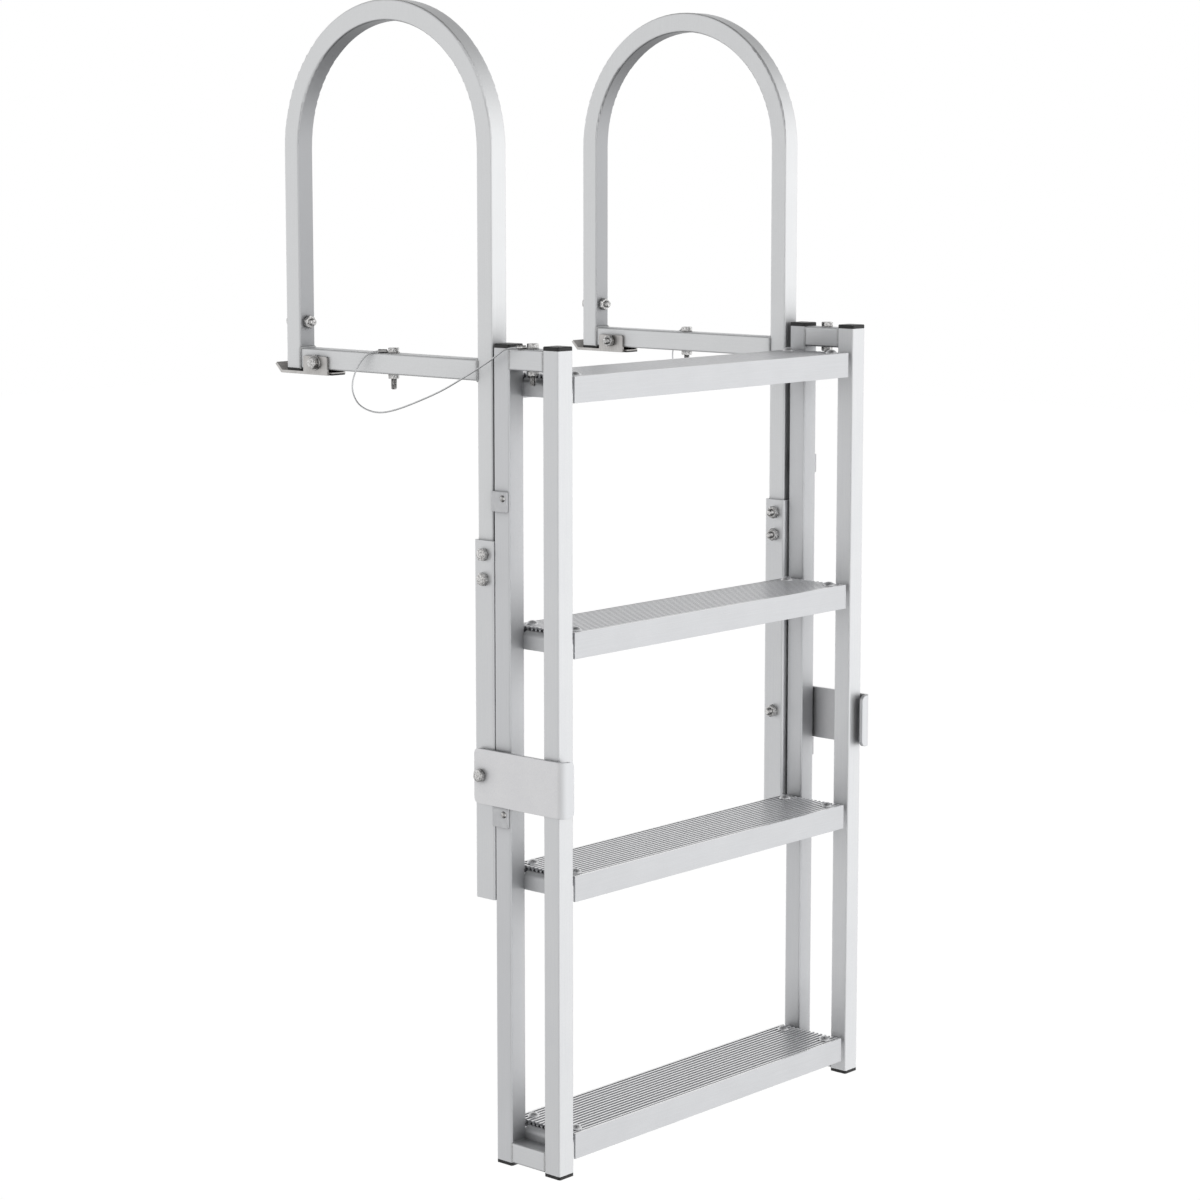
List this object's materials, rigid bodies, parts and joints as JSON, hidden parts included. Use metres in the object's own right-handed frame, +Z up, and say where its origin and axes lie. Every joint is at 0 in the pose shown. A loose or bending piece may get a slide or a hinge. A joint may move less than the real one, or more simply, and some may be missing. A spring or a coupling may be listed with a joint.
{
  "type": "dock ladder",
  "caption": "Retractable aluminium dock ladder: ribbed treads between twin square rails that slide on a fixed frame with arched handrails and wire lanyards",
  "frame": {"origin": "middle of the flat underside of the left dock foot", "axes": "+X along the treads from the left side frame to the right, +Y away from the water towards the dock, +Z up"},
  "size_m": [0.6136, 0.4986, 1.406],
  "materials": {
    "aluminium": "satin",
    "steel": "satin",
    "wire": "satin",
    "black_plastic": "matte",
    "clip_plastic": "matte",
    "rubber_pad": "matte"
  },
  "bodies": {
    "dock_frame": {"left_handrail": "aluminium", "right_handrail": "aluminium", "left_deck_bar": "aluminium", "right_deck_bar": "aluminium", "left_post_sleeve": "aluminium", "right_post_sleeve": "aluminium", "left_guide_bracket": "aluminium", "right_guide_bracket": "aluminium", "left_dock_foot": "steel", "right_dock_foot": "steel", "sleeve_bolts": "steel", "guide_bolts": "steel", "foot_bolts": "steel", "leg_bolts": "steel", "lanyard_bar_bolts": "steel", "lanyard_bar_eyes": "steel", "leg_end_caps": "black_plastic", "foot_toe_pads": "rubber_pad", "left_lanyard": "wire", "right_lanyard": "wire"},
    "ladder": {"left_front_rail": "aluminium", "right_front_rail": "aluminium", "left_rear_rail": "aluminium", "right_rear_rail": "aluminium", "left_top_cross_tube": "aluminium", "right_top_cross_tube": "aluminium", "left_bottom_cross_tube": "aluminium", "right_bottom_cross_tube": "aluminium", "tread_1": "aluminium", "tread_2": "aluminium", "tread_3": "aluminium", "tread_4": "aluminium", "tread_1_angles": "aluminium", "tread_2_angles": "aluminium", "tread_3_angles": "aluminium", "tread_4_angles": "aluminium", "lanyard_rail_bolts": "steel", "lanyard_rail_eyes": "steel", "tread_1_bolts": "steel", "tread_2_bolts": "steel", "tread_3_bolts": "steel", "tread_4_bolts": "steel", "stop_clip_screws": "steel", "rail_top_caps": "black_plastic", "rail_foot_caps": "black_plastic", "upper_stop_clips": "clip_plastic", "lower_stop_clips": "clip_plastic"}
  },
  "joints": [
    {"name": "ladder_slide", "type": "slide", "parent": "dock_frame", "child": "ladder", "axis": [0, 0, 1], "range_m": [-0.288, 0], "deforming": ["left_lanyard", "right_lanyard"]}
  ]
}
